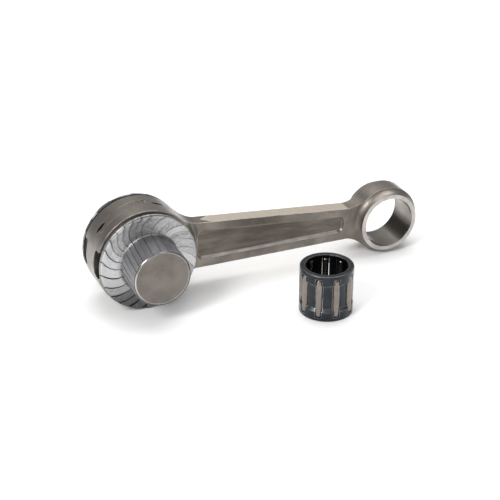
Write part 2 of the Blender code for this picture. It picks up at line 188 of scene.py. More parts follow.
class Finishes(PropertyGroup):
    forging: colour("Forging", "Bead-blasted forging", (0.225, 0.200, 0.175))
    pocket: colour("Pocket floor", "Scale left in the beam's pockets", (0.185, 0.163, 0.140))
    milled: colour("Milled edge", "Beam edges, milled bright", (0.74, 0.69, 0.60))
    ground: colour("Ground face", "Lands of both ends", (0.50, 0.46, 0.43))
    bore: colour("Bore", "Honed bores", (0.27, 0.25, 0.225))
    pin: colour("Pin", "Hardened crank pin", (0.185, 0.165, 0.150))
    # The chamfer's colour is partly polish and partly a painted highlight.
    chamfer: colour("Pin chamfer", "Polished edge of the crank pin", (0.44, 0.42, 0.40))
    washer: colour("Washer", "Thrust washers", (0.52, 0.52, 0.53))
    film: colour("Film", "Metallised film", (0.61, 0.61, 0.612))
    sleeve: colour("Sleeve film", "The film where it is drawn along the pin", (0.34, 0.335, 0.352))
    big_cage: colour("Big cage", "Cage round the crank pin", (0.36, 0.32, 0.28))
    roller: colour("Roller", "Polished rollers", (0.55, 0.53, 0.50))
    blued: colour("Blued cage", "Needle cage, heat-treated blue-black", (0.022, 0.026, 0.032))
    # A lighter colour on the needle cage's sloped outer faces: painted highlight.
    ledge: colour("Ledge highlight", "The needle cage's sloped edges", (0.13, 0.14, 0.15))
    needle: colour("Needle", "Ground needles", (0.235, 0.204, 0.180))
    # Strength of the bright edges, which are partly wear and partly painted highlight.
    wear_and_highlight: share("Edge wear", "Strength of the bright worn edges", 0.9)


class StageSizes(PropertyGroup):
    floor: length("Floor", "Side of the floor", 6.0)
    floor_colour: colour("Floor colour", "Pale paper", (0.93, 0.93, 0.93))
    lens: FloatProperty(name="Lens", description="Focal length", default=108.24, unit="CAMERA")
    distance: length("Camera distance", "From the camera to its target", 0.59746)
    azimuth: degrees("Azimuth", "Camera's way round the kit", 24.428)
    elevation: degrees("Elevation", "Camera's height above the floor", 27.726)
    roll: degrees("Roll", "Camera's turn about its own axis", 0.332)


class RodKitSettings(PropertyGroup):
    rod: PointerProperty(type=RodSizes, name="Rod", description="Sizes of the forging")
    film: PointerProperty(type=FilmSizes, name="Film", description="Shape of the film wraps")
    bearing: PointerProperty(type=BearingSizes, name="Bearings", description="Bearing sizes")
    finish: PointerProperty(type=Finishes, name="Finishes", description="Colours of the surfaces")
    stage: PointerProperty(type=StageSizes, name="Stage", description="Floor and camera")


# Shapes


def circle_point(centre, radius, angle):
    return Vector((centre[0] + radius * math.cos(angle), centre[1] + radius * math.sin(angle)))


def arc(centre, radius, start, end, steps):
    """Points on a circle from one angle to another, both ends included."""
    turns = (start + (end - start) * i / steps for i in range(steps + 1))
    return [circle_point(centre, radius, angle) for angle in turns]


def round_corner(radius, height, rounding, steps):
    """A turned profile's outer corner, from its end face round to its side."""
    return arc((radius - rounding, height - rounding), rounding, math.pi / 2, 0, steps)


def turned(profile, steps):
    """A solid turned about Z from (radius, height) points; a profile off the axis closes itself."""
    shape = bmesh.new()
    verts = [shape.verts.new((radius, 0, height)) for radius, height in profile]
    edges = [shape.edges.new(pair) for pair in zip(verts, verts[1:])]
    if profile[0][0] > 0:
        edges.append(shape.edges.new((verts[-1], verts[0])))
    bmesh.ops.spin(
        shape, geom=verts + edges, axis=(0, 0, 1), angle=math.tau, steps=steps, use_merge=True
    )
    bmesh.ops.remove_doubles(shape, verts=shape.verts, dist=MERGE)
    bmesh.ops.recalc_face_normals(shape, faces=shape.faces)
    return shape


def loft(levels):
    """A solid through (outline, height) levels with as many points each, capped at both ends."""
    shape = bmesh.new()
    rings = [[shape.verts.new((x, y, height)) for x, y in outline] for outline, height in levels]
    for lower, upper in zip(rings, rings[1:]):
        for i in range(len(lower)):
            shape.faces.new((lower[i - 1], lower[i], upper[i], upper[i - 1]))
    shape.faces.new(rings[0])
    shape.faces.new(rings[-1])
    bmesh.ops.recalc_face_normals(shape, faces=shape.faces)
    return shape


def moved(shape, matrix):
    bmesh.ops.transform(shape, matrix=matrix, verts=shape.verts)
    return shape


def joined(shapes):
    """Several separate solids in one shape."""
    whole = bmesh.new()
    for shape in shapes:
        mesh = bpy.data.meshes.new("joined")
        shape.to_mesh(mesh)
        shape.free()
        whole.from_mesh(mesh)
        bpy.data.meshes.remove(mesh)
    return whole


def box(size, rounding=0.0):
    shape = bmesh.new()
    bmesh.ops.create_cube(shape, size=1)
    bmesh.ops.scale(shape, vec=size, verts=shape.verts)
    if rounding:
        bmesh.ops.bevel(shape, geom=shape.edges, offset=rounding, segments=4, affect="EDGES")
    return shape


def mirrored_across(points, shared_ends=False):
    """An outline's upper half closed by its mirror image across X."""
    below = reversed(points[1:-1] if shared_ends else points)
    return points + [Vector((point.x, -point.y)) for point in below]


def mirrored_down(points):
    """An upper half profile with its mirror image below added."""
    return points + [(radius, -height) for radius, height in reversed(points)]


def new_object(name, shape, place=None):
    mesh = bpy.data.meshes.new(name)
    shape.to_mesh(mesh)
    shape.free()
    made = bpy.data.objects.new(name, mesh)
    made.matrix_world = place or Matrix.Identity(4)
    bpy.context.scene.collection.objects.link(made)
    return made


def apply_modifiers(made):
    graph = bpy.context.evaluated_depsgraph_get()
    mesh = bpy.data.meshes.new_from_object(made.evaluated_get(graph))
    made.modifiers.clear()
    made.data = mesh


def combine(made, operation, shapes):
    """Boolean the shapes, in the object's own frame, into it one after another."""
    tools = [new_object("tool", shape, made.matrix_world) for shape in shapes]
    for tool in tools:
        modifier = made.modifiers.new(operation.title(), "BOOLEAN")
        modifier.operation = operation
        modifier.object = tool
    apply_modifiers(made)
    for tool in tools:
        bpy.data.objects.remove(tool)
    if not made.data.polygons:
        raise RuntimeError(f"nothing is left of {made.name}")


def finish_piece(made, materials, body, node, sharp=math.radians(34)):
    """Shading, materials and the frame's calls for one piece, whose axes become the world's."""
    made.data.transform(made.matrix_world)
    made.matrix_world = Matrix.Identity(4)
    made.data.shade_smooth()
    made.data.set_sharp_from_angle(angle=sharp)
    weighted = made.modifiers.new("Weighted Normal", "WEIGHTED_NORMAL")
    weighted.keep_sharp = True
    for material in materials:
        made.data.materials.append(material)
    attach(made, body)
    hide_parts(node)


# Node trees


class Tree:
    """A short way to write the nodes of a material or a group."""

    def __init__(self, tree):
        self.tree = tree

    def add(self, kind, inputs=None, **settings):
        made = self.tree.nodes.new(kind)
        for name, value in settings.items():
            setattr(made, name, value)
        for name, value in (inputs or {}).items():
            self.feed(made.inputs[name], value)
        return made

    def feed(self, socket, value):
        if isinstance(value, bpy.types.NodeSocket):
            self.tree.links.new(value, socket)
        elif socket.type == "RGBA" and len(value) == 3:
            socket.default_value = (*value, 1)
        else:
            socket.default_value = value

    def math(self, operation, first, second=0.0, third=0.0, clamp=False):
        inputs = {0: first, 1: second, 2: third}
        return self.add("ShaderNodeMath", inputs, operation=operation, use_clamp=clamp).outputs[0]

    def between(self, value, low, high, to_low=0.0, to_high=1.0):
        """A smooth step of the value from low to high."""
        inputs = {"Value": value, "From Min": low, "From Max": high}
        inputs |= {"To Min": to_low, "To Max": to_high}
        kind = "SMOOTHSTEP"
        return self.add("ShaderNodeMapRange", inputs, interpolation_type=kind).outputs["Result"]

    def mix(self, factor, first, second, blend="MIX"):
        """Colour mix. The colour sockets of a Mix node are its inputs 6 and 7, and output 2."""
        made = self.add("ShaderNodeMix", {0: factor}, data_type="RGBA", blend_type=blend)
        self.feed(made.inputs[6], first)
        self.feed(made.inputs[7], second)
        return made.outputs[2]

    def noise(self, vector, scale, detail=3.0, roughness=0.55):
        inputs = {"Vector": vector, "Scale": scale, "Detail": detail, "Roughness": roughness}
        return self.add("ShaderNodeTexNoise", inputs).outputs["Fac"]

    def stretched(self, vector, scale):
        return self.add("ShaderNodeMapping", {"Vector": vector, "Scale": scale}).outputs[0]

    def group(self, group, **inputs):
        """Outputs of a node group. The input grain_scale is the socket Grain Scale."""
        made = self.add("ShaderNodeGroup", node_tree=group)
        for name, value in inputs.items():
            self.feed(made.inputs[name.replace("_", " ").title()], value)
        return made.outputs


def new_group(name, inputs, outputs):
    """A shader node group with (name, socket type, default) inputs and (name, type) outputs."""
    group = bpy.data.node_groups.new(name, "ShaderNodeTree")
    for title, kind, default in inputs:
        socket = group.interface.new_socket(title, in_out="INPUT", socket_type=kind)
        if default is not None:
            socket.default_value = default
    for title, kind in outputs:
        group.interface.new_socket(title, in_out="OUTPUT", socket_type=kind)
    tree = Tree(group)
    return tree, tree.add("NodeGroupInput").outputs, tree.add("NodeGroupOutput").inputs


VECTOR, VALUE = "NodeSocketVector", "NodeSocketFloat"


def blasted_grain():
    """Fine pits over soft blotches. Grain and Blotch are masks from 0 to 1."""
    name = "Blasted Grain"
    if name in bpy.data.node_groups:
        return bpy.data.node_groups[name]
    tree, given, result = new_group(
        name,
        [("Vector", VECTOR, None), ("Grain Scale", VALUE, 2500.0), ("Blotch Scale", VALUE, 160.0)],
        [("Grain", VALUE), ("Blotch", VALUE)],
    )
    fine = tree.noise(given["Vector"], given["Grain Scale"], 2.0, 0.6)
    pits = tree.add(
        "ShaderNodeTexVoronoi", {"Vector": given["Vector"], "Scale": given["Grain Scale"]}
    ).outputs["Distance"]
    grain = tree.math("MULTIPLY_ADD", pits, 0.5, tree.math("MULTIPLY", fine, 0.6))
    coarse = tree.noise(given["Vector"], given["Blotch Scale"], 4.0, 0.6)
    tree.feed(result["Grain"], grain)
    tree.feed(result["Blotch"], tree.between(coarse, 0.3, 0.7))
    return tree.tree


def edge_wear_highlight():
    """Bright, broken-up outer edges, partly real wear and partly painted highlight: how far a
    rounded normal leans away from the true one.
    """
    name = "Edge Wear"
    if name in bpy.data.node_groups:
        return bpy.data.node_groups[name]
    tree, given, result = new_group(
        name,
        [("Vector", VECTOR, None), ("Radius", VALUE, 0.0003), ("Strength", VALUE, 0.5)],
        [("Mask", VALUE)],
    )
    rounded = tree.add("ShaderNodeBevel", {"Radius": given["Radius"]}, samples=6).outputs[0]
    true = tree.add("ShaderNodeNewGeometry").outputs["Normal"]
    dot = tree.add("ShaderNodeVectorMath", {0: rounded, 1: true}, operation="DOT_PRODUCT")
    lean = tree.math("SUBTRACT", 1.0, dot.outputs["Value"])
    edge = tree.between(lean, 0.003, 0.045)
    breakup = tree.between(tree.noise(given["Vector"], 450.0, 3.0), 0.25, 0.6)
    mask = tree.math("MULTIPLY", tree.math("MULTIPLY", edge, breakup), given["Strength"])
    tree.feed(result["Mask"], mask)
    return tree.tree


def tool_marks():
    """Fine lines left by a tool, along the vector's X, broken up along their length."""
    name = "Tool Marks"
    if name in bpy.data.node_groups:
        return bpy.data.node_groups[name]
    tree, given, result = new_group(
        name, [("Vector", VECTOR, None), ("Pitch", VALUE, 0.0002)], [("Lines", VALUE)]
    )
    axes = tree.add("ShaderNodeSeparateXYZ", {0: given["Vector"]}).outputs
    wander = tree.math("MULTIPLY", tree.noise(given["Vector"], 350.0, 2.0), 3.0)
    phase = tree.math("ADD", tree.math("DIVIDE", axes["X"], given["Pitch"]), wander)
    steady = tree.add("ShaderNodeCombineXYZ", {"X": phase}).outputs[0]
    tree.feed(result["Lines"], tree.noise(steady, 1.0, 3.0, 0.7))
    return tree.tree


def new_material(name, axes):
    """(material, its tree, its shader, coordinates in the frame of the piece's own axes)."""
    material = bpy.data.materials.new(name)
    material.use_nodes = True
    tree = Tree(material.node_tree)
    shader = material.node_tree.nodes["Principled BSDF"]
    into = axes.inverted()
    inputs = {
        "Vector": tree.add("ShaderNodeTexCoord").outputs["Object"],
        "Location": into.translation,
        "Rotation": into.to_euler(),
    }
    return material, tree, shader, tree.add("ShaderNodeMapping", inputs).outputs[0]


def round_axis(tree, place, middle=0.0):
    """(distance, height, angle) of a point from the axis along Z that crosses X at the middle."""
    axes = tree.add("ShaderNodeSeparateXYZ", {0: place}).outputs
    across = tree.math("SUBTRACT", axes["X"], middle)
    flat = tree.add("ShaderNodeCombineXYZ", {"X": across, "Y": axes["Y"]}).outputs[0]
    distance = tree.add("ShaderNodeVectorMath", {0: flat}, operation="LENGTH").outputs["Value"]
    return distance, axes["Z"], tree.math("ARCTAN2", axes["Y"], across)


def lay_on(tree, shader, base, grain, bump, distance):
    """Feeds a base colour and a bumped normal to the shader."""
    tree.feed(shader.inputs["Base Color"], base)
    inputs = {"Height": grain, "Strength": bump, "Distance": distance}
    tree.feed(shader.inputs["Normal"], tree.add("ShaderNodeBump", inputs).outputs[0])


def steel(name, axes, tint, roughness, wear_and_highlight, grain=2600.0, blotch=150.0, contrast=0.3, pitch=0.0,
          bump=0.35, oil=0.0, stretch=1.0, dark_reflection=None):
    """A metal with grain, blotches, tool marks where it has a pitch, bright edges that are wear and
    painted highlight, and an oil film.

    The last argument is (distance along X, angle): a painted dark reflection that runs along a bore
    with its axis there.
    """
    if name in bpy.data.materials:
        return bpy.data.materials[name]
    material, tree, shader, place = new_material(name, axes)
    shader.inputs["Metallic"].default_value = 1
    shader.inputs["Coat Weight"].default_value = oil
    shader.inputs["Coat Roughness"].default_value = 0.14
    spread = tree.stretched(place, (1 / stretch, 1, 1))
    masks = tree.group(blasted_grain(), vector=spread, grain_scale=grain, blotch_scale=blotch)
    dark = tuple(channel * (1 - contrast) for channel in tint)
    light = tuple(min(1, channel * (1 + contrast / 2)) for channel in tint)
    bright = tuple(min(1, channel * 2 + 0.3) for channel in tint)
    base = tree.mix(masks["Blotch"], dark, light)
    base = tree.mix(tree.math("MULTIPLY", masks["Grain"], contrast), base, dark)
    height = masks["Grain"]
    rough = tree.between(masks["Blotch"], 0.0, 1.0, roughness + 0.06, roughness - 0.05)
    if pitch:
        radius, level, _ = round_axis(tree, place)
        along = tree.add("ShaderNodeCombineXYZ", {"X": tree.math("ADD", radius, level)}).outputs[0]
        lines = tree.group(tool_marks(), vector=along, pitch=pitch)["Lines"]
        height = tree.math("ADD", tree.math("MULTIPLY", height, 0.4), lines)
        base = tree.mix(tree.between(lines, 0.35, 0.75, 0.0, 0.06), base, bright)
    # Bright edges: real wear and a painted highlight.
    edge_highlight = tree.group(edge_wear_highlight(), vector=place, radius=0.0004, strength=wear_and_highlight)["Mask"]
    base = tree.mix(edge_highlight, base, bright)
    # A painted dark reflection along the bore.
    if dark_reflection:
        middle, run = dark_reflection
        angle = round_axis(tree, place, middle)[2]
        near = tree.math("COSINE", tree.math("SUBTRACT", angle, run))
        base = tree.mix(tree.between(near, 0.84, 0.99, 0.0, 0.8), base, (0.02, 0.018, 0.015))
    tree.feed(shader.inputs["Roughness"], rough)
    lay_on(tree, shader, base, height, bump, 0.00006)
    return material


MILL_RUN_IN = 0.0042
MILL_STOP = 0.0026
MILL_FADE = 0.0015


def milled_steel(name, rod_axes, rod, apart, finish):
    """The beam's milled edge, which starts in a point where the mill ran in and fades out."""
    if name in bpy.data.materials:
        return bpy.data.materials[name]
    material, tree, shader, place = new_material(name, rod_axes)
    bright, dull = finish.milled, finish.forging
    stop = apart - rod.small_radius - MILL_STOP
    shader.inputs["Metallic"].default_value = 1
    masks = tree.group(blasted_grain(), vector=place, grain_scale=2200.0, blotch_scale=90.0)
    axes = tree.add("ShaderNodeSeparateXYZ", {0: place}).outputs
    across = tree.math("DIVIDE", tree.math("ABSOLUTE", axes["Z"]), rod.beam_thickness / 2)
    edge = tree.math("MULTIPLY_ADD", across, MILL_RUN_IN, BIG_RADIUS + MILL_RUN_IN)
    begun = tree.between(tree.math("SUBTRACT", axes["X"], edge), 0.0, 0.0006)
    going = tree.between(axes["X"], stop - MILL_FADE, stop, 1.0, 0.0)
    milled = tree.math("MULTIPLY", begun, going)
    lines = tree.group(tool_marks(), vector=place, pitch=0.0007)["Lines"]
    warm = tuple(channel * scale for channel, scale in zip(bright, (1.02, 0.95, 0.94)))
    cool = tuple(channel * scale for channel, scale in zip(bright, (0.97, 0.99, 0.93)))
    tint = tree.mix(tree.between(tree.noise(place, 55.0, 1.0), 0.4, 0.6), warm, cool)
    tint = tree.mix(tree.between(lines, 0.4, 0.8, 0.0, 0.25), tint, dull)
    tint = tree.mix(tree.between(masks["Grain"], 0.3, 0.9, 0.0, 0.25), tint, dull)
    rough_skin = tree.mix(masks["Blotch"], tuple(c * 0.75 for c in dull), dull)
    base = tree.mix(milled, rough_skin, tint)
    # Bright edges: real wear and a painted highlight.
    edge_highlight = tree.group(edge_wear_highlight(), vector=place, radius=0.0004, strength=finish.wear_and_highlight)["Mask"]
    base = tree.mix(edge_highlight, base, tuple(min(1, c * 1.2) for c in bright))
    tree.feed(shader.inputs["Roughness"], tree.between(milled, 0.0, 1.0, 0.5, 0.42))
    height = tree.math("ADD", masks["Grain"], tree.math("MULTIPLY", lines, 0.5))
    lay_on(tree, shader, base, height, 0.3, 0.00005)
    return material


def silver_film(name, rod_axes, tint, sleeve_tint, sleeve_radius, corner):
    """Pleated metallised film. The Tone attribute holds each pleat's lightness: painted light and
    shade on the front wrap, random on the rear one. The Crease attribute holds painted shade.
    """
    if name in bpy.data.materials:
        return bpy.data.materials[name]
    material, tree, shader, place = new_material(name, rod_axes)
    shader.inputs["Metallic"].default_value = 0.9
    tone = tree.add("ShaderNodeAttribute", attribute_name="Tone").outputs["Fac"]
    crease = tree.add("ShaderNodeAttribute", attribute_name="Crease").outputs["Fac"]
    radius, _, turn = round_axis(tree, place)
    along = tree.add(
        "ShaderNodeCombineXYZ",
        {"X": tree.math("MULTIPLY", turn, 11.0), "Y": tree.math("MULTIPLY", radius, 70.0)},
    ).outputs[0]
    streaks = tree.noise(along, 6.0, 4.0, 0.65)
    wrinkles = tree.noise(place, 900.0, 3.0, 0.6)
    on_disc = tree.between(radius, sleeve_radius + corner * 0.4, sleeve_radius + corner * 1.6)
    base = tree.mix(on_disc, sleeve_tint, tint)
    dark = tuple(channel * 0.16 for channel in tint)
    dull = tree.math("SUBTRACT", 1.0, tone, clamp=True)
    # Darker where Tone is low: painted shade on the front wrap, random tone on the rear one.
    base = tree.mix(tree.math("MULTIPLY", dull, 0.85), base, dark)
    shade = tree.math("MULTIPLY", tree.between(streaks, 0.42, 0.60), tree.between(dull, 0.0, 0.8))
    base = tree.mix(tree.math("MULTIPLY", shade, 0.85), base, dark)
    # Near-black in the creases, beside them and at the rim: painted shade.
    base = tree.mix(tree.between(crease, 0.1, 0.8), base, tuple(c * 0.04 for c in tint))
    tree.feed(shader.inputs["Roughness"], tree.between(streaks, 0.3, 0.7, 0.26, 0.44))
    height = tree.math("ADD", streaks, tree.math("MULTIPLY", wrinkles, 0.25))
    lay_on(tree, shader, base, height, 0.35, 0.00016)
    return material


def pale_paper(name, tint):
    """The floor's matt paper, which glows a little so that it stays pale far from the lights."""
    material, tree, shader, place = new_material(name, Matrix.Identity(4))
    shader.inputs["Roughness"].default_value = 0.9
    shader.inputs["Specular IOR Level"].default_value = 0.1
    shader.inputs["Emission Color"].default_value = (1, 1, 1, 1)
    shader.inputs["Emission Strength"].default_value = 0.05
    fibre = tree.noise(place, 1200.0, 4.0)
    base = tree.mix(fibre, tuple(channel * 0.995 for channel in tint), tint)
    lay_on(tree, shader, base, fibre, 0.02, 0.00005)
    return material


# Connecting rod


def rod_frame(rod):
    """(matrix, distance between bores). X runs along the rod, Z along its bores to the front."""
    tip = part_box("connecting_rod")[1].x
    small = Vector((tip - rod.small_radius, BIG_CENTRE.y, rod.small_radius))
    apart = (small - BIG_CENTRE).length
    tilt = math.asin((BIG_RADIUS - rod.small_radius) / apart)
    turn = Euler((math.pi / 2, tilt, 0)).to_matrix().to_4x4()
    return Matrix.Translation(BIG_CENTRE) @ turn, apart


def beam_edge(rod, apart):
    """(start, end) of the beam's straight upper edge, at the two bores' centres."""
    return Vector((0, rod.root_height / 2)), Vector((apart, rod.tip_height / 2))


def fillet_to_edge(rod, apart, centre_x, end_radius, fillet_radius, side):
    """Where a fillet meets an end's circle and the beam's upper edge.

    Returns the fillet's centre, the direction to it from the end's centre, and the direction from
    it to the beam's edge.
    """
    start, end = beam_edge(rod, apart)
    along = (end - start).normalized()
    outward = Vector((-along.y, along.x))
    offset = outward.dot(start) + fillet_radius - outward.x * centre_x
    run = side * math.sqrt((end_radius + fillet_radius) ** 2 - offset**2)
    middle = Vector((centre_x, 0)) + outward * offset + along * run
    return middle, math.atan2(middle.y, middle.x - centre_x), math.atan2(-outward.y, -outward.x)


def rod_outline(rod, apart):
    """The rod seen along its bores: two rings, a tapered beam, and a fillet at each corner."""
    big_radius = BIG_RADIUS - HAIR
    big_middle, big_turn, edge_turn = fillet_to_edge(rod, apart, 0, big_radius, rod.big_fillet, 1)
    small_middle, small_turn, _ = fillet_to_edge(
        rod, apart, apart, rod.small_radius, rod.small_fillet, -1
    )
    end_steps, fillet_steps = rod.steps // 3, rod.steps // 12
    upper = arc((0, 0), big_radius, math.pi, big_turn, end_steps)
    upper += arc(big_middle, rod.big_fillet, big_turn - math.pi, edge_turn, fillet_steps)[1:]
    upper += arc(small_middle, rod.small_fillet, edge_turn, small_turn - math.pi, fillet_steps)
    upper += arc((apart, 0), rod.small_radius, small_turn, 0, end_steps)[1:]
    return mirrored_across(upper, shared_ends=True)


# How far an end's limit reaches below the beam's flank that it joins
SUNK = 0.0003


def big_end_limit(rod):
    """How thick the forging may be round the big end: two faces that flare out to the beam."""
    face, beam, chamfer = BIG_WIDTH / 2, rod.beam_thickness / 2, 0.0004
    nearly_flat = math.radians(264)
    wall = BIG_RADIUS + HAIR
    foot = (wall + rod.big_flare, beam + rod.big_flare)
    upper = [(0, face)]
    upper += round_corner(wall, face, chamfer, 4)
    upper += arc(foot, rod.big_flare, math.pi, nearly_flat, 14)
    upper += [(wall + 2 * rod.big_flare, beam - SUNK)]
    return turned(mirrored_down(upper), rod.steps)


def small_end_limit(rod):
    """The same round the small end: a ground land, a short step, and a hollow flank."""
    face, beam, chamfer = rod.small_width / 2, rod.beam_thickness / 2, 0.00025
    step_depth, flank_reach = 0.0007, 0.0042
    step_bend, foot_bend = Vector((0.0006, -0.0020, 0)), Vector((0.0022, 0, 0))
    upper = [(0, face)]
    upper += round_corner(rod.land_radius, face, chamfer, 4)
    step = Vector((rod.land_radius, face - step_depth, 0))
    foot = Vector((rod.land_radius + flank_reach, beam, 0))
    flank = interpolate_bezier(step, step + step_bend, foot - foot_bend, foot, 18)
    upper += [(point.x, point.y) for point in flank[:-1]]
    upper += [(foot.x + 0.001, beam - SUNK)]
    limit = turned(mirrored_down(upper), rod.steps)
    return moved(limit, Matrix.Translation((rod_frame(rod)[1], 0, 0)))


def pocket_outline(rod, apart, inset):
    """The hollow between the beam's flanges, shrunk by the inset, with round corners."""
    start, end = beam_edge(rod, apart)
    slope = (end.y - start.y) / (end.x - start.x)
    left = BIG_RADIUS + rod.pocket_start + inset
    right = apart - rod.small_radius - rod.pocket_end - inset
    corner = rod.pocket_corner - inset
    points = []
    for x, inside, turn in ((left, corner, math.pi), (right, -corner, math.pi / 2)):
        height = start.y + slope * (x + inside) - rod.flange - inset - corner
        points += arc((x + inside, height), corner, turn, turn - math.pi / 2, 10)
    return mirrored_across(points)


def pocket_cutter(rod, apart, side):
    """A pocket with a rounded lip, drafted walls and a round at the floor."""
    depth, lip = rod.pocket_depth, -0.00034
    inset_and_depth = (
        (lip, -0.5 * depth), (lip, -0.00001), (-0.00020, 0.03 * depth),
        (-0.00006, 0.10 * depth), (0.00004, 0.2 * depth), (0.00036, 0.80 * depth),
        (0.00050, 0.93 * depth), (0.00074, depth),
    )
    face = rod.beam_thickness / 2
    shape = loft(
        [(pocket_outline(rod, apart, inset), face - level) for inset, level in inset_and_depth]
    )
    return shape if side > 0 else moved(shape, Matrix.Rotation(math.pi, 4, "X"))


def bore_cutter(radius, width, steps, middle=0.0, mouth=0.0005):
    """A bore with a rounded mouth at each face."""
    face = width / 2
    corner = arc((radius + mouth, face - mouth), mouth, math.pi / 2, math.pi, 4)
    upper = [(0, face + OVERSHOOT), (radius + mouth + HAIR, face + OVERSHOOT)] + corner
    return moved(turned(mirrored_down(upper), steps), Matrix.Translation((middle, 0, 0)))


def oil_slot_cutter(rod, angle):
    """An almond slot through the big end's rim, with its long way round the rim."""
    half, rise = rod.slot_length / 2, rod.slot_width / 2
    radius = (half**2 + rise**2) / (2 * rise)
    reach = math.asin(half / radius)
    upper = arc((0, rise - radius), radius, math.pi / 2 + reach, math.pi / 2 - reach, 14)
    outline = mirrored_across(upper, shared_ends=True)
    shape = loft([(outline, rod.big_bore - OVERSHOOT), (outline, BIG_RADIUS + OVERSHOOT)])
    lie_out = Matrix.Rotation(angle, 4, "Z") @ Matrix.Rotation(math.pi / 2, 4, "Y")
    return moved(shape, lie_out @ Matrix.Rotation(math.pi / 2, 4, "Z"))


def notch_cutter(rod, side):
    """An oil way milled across a face, at the tip of the big end."""
    reach = BIG_RADIUS - rod.big_bore + 2 * OVERSHOOT
    depth = rod.notch_depth + OVERSHOOT
    height = side * (BIG_WIDTH / 2 - rod.notch_depth + depth / 2)
    place = Matrix.Translation((-(BIG_RADIUS + rod.big_bore) / 2, 0, height))
    return moved(box((reach, rod.notch_width, depth), 0.0005), place)


def parting_band_cutter():
    """The shallow step that trimming the flash left, a little askew, along the big end's crown."""
    depth, rear, front = 0.00013, -0.0017, 0.0021
    low, high, crown, skew = (math.radians(turn) for turn in (84, 147, 115, 5))
    edge = arc((0, 0), BIG_RADIUS - depth, low, high, 40)
    edge += arc((0, 0), BIG_RADIUS + OVERSHOOT, high, low, 40)
    shape = loft([(edge, rear), (edge, front)])
    lean = Matrix.Rotation(crown, 4, "Z") @ Matrix.Rotation(skew, 4, "X")
    return moved(shape, lean @ Matrix.Rotation(-crown, 4, "Z"))


FORGED, MILLED, GROUND, HONED, SCALED = range(5)
# Degrees round the big end, from the way that the beam points
OIL_SLOTS = (-143, -71, 71, 143)


def rod_face_finish(rod, apart, face):
    """Which finish a face of the rod has. A pocket's lower lip, which faces up, gets the land's
    bright finish as a painted highlight.
    """
    middle, normal = face.calc_center_median(), face.normal
    level, lean, near = abs(middle.z), abs(normal.z), 0.0001
    small_reach = (middle.xy - Vector((apart, 0))).length
    flank = rod.beam_thickness / 2
    if lean > 0.98:
        if abs(level - flank + rod.pocket_depth) < near:
            return SCALED
        on_big_land = abs(level - BIG_WIDTH / 2) < near
        on_small_land = abs(level - rod.small_width / 2) < near and small_reach < 0.02
        return GROUND if on_big_land or on_small_land else FORGED
    mouth = 0.0006
    if middle.xy.length < rod.big_bore + mouth or small_reach < rod.small_bore + mouth:
        return HONED
    small_rim = apart - rod.small_radius
    # The pocket's lower, upward-facing lip is made bright as a painted highlight.
    highlight_lip = lean > 0.05 and level < flank + HAIR / 2 and normal.y > 0.3 and middle.y < 0
    if highlight_lip and BIG_RADIUS < middle.x < small_rim - rod.pocket_end - rod.pocket_corner:
        return GROUND
    on_edge = lean < 0.05 and abs(middle.y) > rod.tip_height / 2 - 0.001
    if on_edge and BIG_RADIUS < middle.x < small_rim + 0.001:
        return MILLED
    return FORGED


def rod_finishes(axes, rod, apart, finish):
    """The rod's materials, in the order of the names above."""
    return [
        steel(
            "blasted_forging", axes, finish.forging, 0.42, finish.wear_and_highlight,
            grain=2000.0, blotch=110.0, contrast=0.28, bump=0.5, oil=0.35,
        ),
        milled_steel("milled_edge", axes, rod, apart, finish),
        steel(
            "ground_land", axes, finish.ground, 0.36, finish.wear_and_highlight,
            grain=3000.0, blotch=200.0, contrast=0.16, bump=0.15,
        ),
        # The honed bore carries a painted dark reflection.
        steel(
            "honed_bore", axes, finish.bore, 0.20, finish.wear_and_highlight,
            grain=3000.0, blotch=120.0, contrast=0.2, bump=0.15, dark_reflection=(apart, math.radians(-30)),
        ),
        steel(
            "pocket_scale", axes, finish.pocket, 0.5, finish.wear_and_highlight,
            grain=1800.0, blotch=420.0, contrast=0.26, bump=0.6, stretch=5.0,
        ),
    ]


class ROD_KIT_OT_add_forging(Operator):
    """Add the forged connecting rod"""

    bl_idname = "rod_kit.add_forging"
    bl_label = "Connecting Rod"
    bl_options = {"REGISTER", "UNDO"}

    def execute(self, context):
        rod, finish = context.scene.rod_kit.rod, context.scene.rod_kit.finish
        place, apart = rod_frame(rod)
        half = BIG_WIDTH / 2 + OVERSHOOT
        outline = rod_outline(rod, apart)
        forging = new_object("rod_forging", loft([(outline, -half), (outline, half)]), place)
        slab_length = apart + 2 * BIG_RADIUS + 2 * rod.small_radius
        slab = box((slab_length, 3 * BIG_RADIUS, rod.beam_thickness))
        limit = new_object("limit", moved(slab, Matrix.Translation((apart / 2, 0, 0))), place)
        combine(limit, "UNION", [big_end_limit(rod), small_end_limit(rod)])
        thickness = bmesh.new()
        thickness.from_mesh(limit.data)
        bpy.data.objects.remove(limit)
        combine(forging, "INTERSECT", [thickness])
        cutters = [
            bore_cutter(rod.big_bore, BIG_WIDTH, rod.steps),
            bore_cutter(rod.small_bore, rod.small_width, rod.steps, apart, 0.0003),
            parting_band_cutter(),
        ]
        cutters += [pocket_cutter(rod, apart, side) for side in (1, -1)]
        cutters += [notch_cutter(rod, side) for side in (1, -1)]
        cutters += [oil_slot_cutter(rod, math.radians(turn)) for turn in OIL_SLOTS]
        combine(forging, "DIFFERENCE", cutters)
        shape = bmesh.new()
        shape.from_mesh(forging.data)
        shape.normal_update()
        for face in shape.faces:
            face.material_index = rod_face_finish(rod, apart, face)
        shape.to_mesh(forging.data)
        shape.free()
        materials = rod_finishes(place, rod, apart, finish)
        finish_piece(forging, materials, "connecting_rod", "connecting_rod")
        return {"FINISHED"}


# Crank pin, washers and wraps


PIN_CHAMFER = 0.0006


